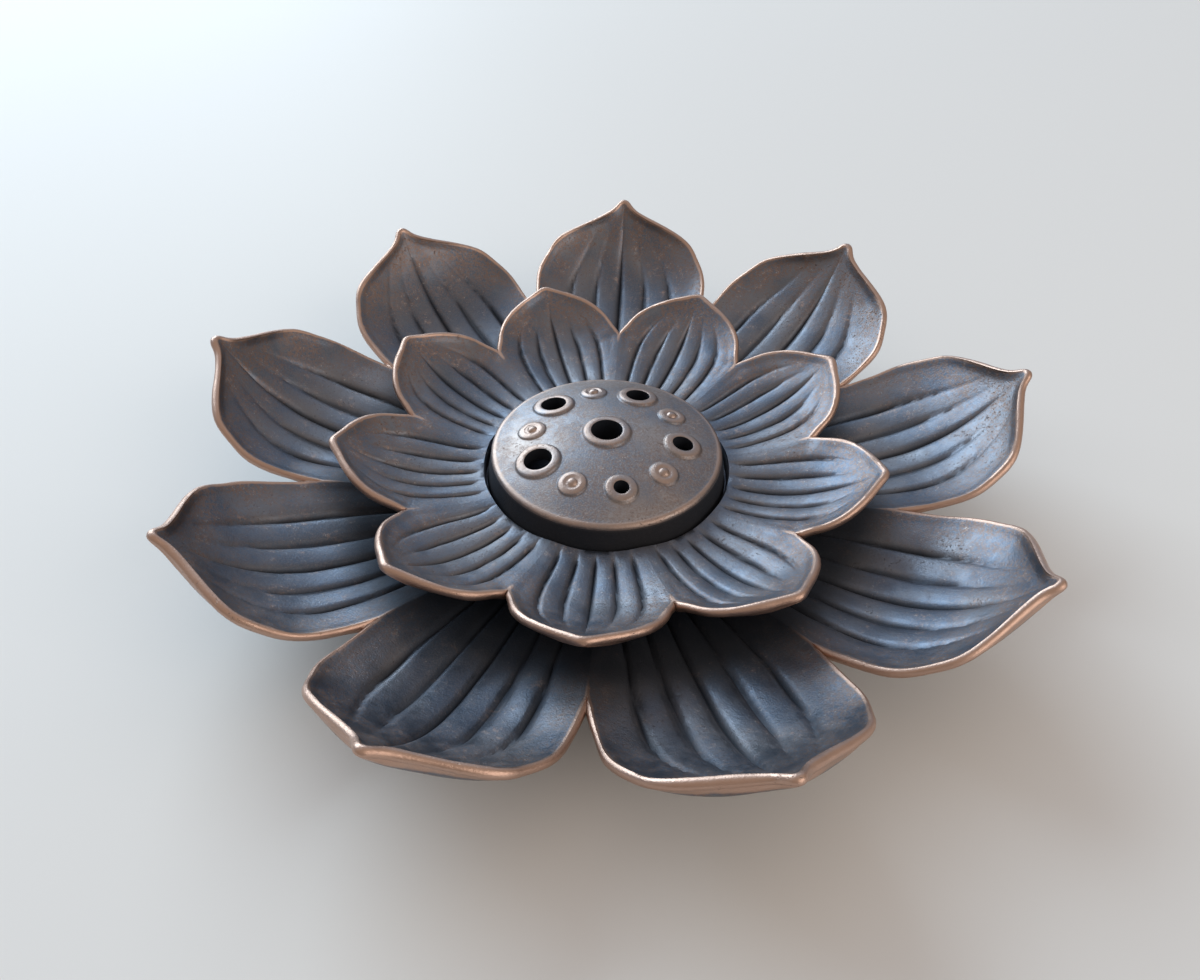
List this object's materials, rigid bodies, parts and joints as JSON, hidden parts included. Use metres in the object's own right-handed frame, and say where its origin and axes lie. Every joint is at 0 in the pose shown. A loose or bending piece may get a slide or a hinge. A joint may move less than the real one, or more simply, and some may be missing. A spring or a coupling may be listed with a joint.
{
  "type": "incense holder",
  "caption": "Lotus flower incense holder in antiqued copper finish, with stacked tiers of petals round a seed pod with stick holes.",
  "frame": {"origin": "centre of the round pad's underside, on the flower's axis, at the surface the holder stands on", "axes": "+Z up along the flower's axis; +Y from the axis towards the tip of one outer petal; +X to the right of it seen from above with +Y up"},
  "size_m": [0.1052, 0.1037, 0.0192],
  "materials": {
    "antique_copper": "copper plated casting with a dark grey-brown patina that looks steel blue in cool light, worn to copper on rims, ribs and hole lips",
    "zinc_plated_steel": "plain zinc plated fastener",
    "dark_rubber": "matt"
  },
  "bodies": {
    "root": {"outer_petal_tier": "antique_copper", "inner_petal_tier": "antique_copper", "seed_pod": "antique_copper", "clamp_screw": "zinc_plated_steel", "plain_washer": "zinc_plated_steel", "base_pad": "dark_rubber"}
  },
  "joints": []
}
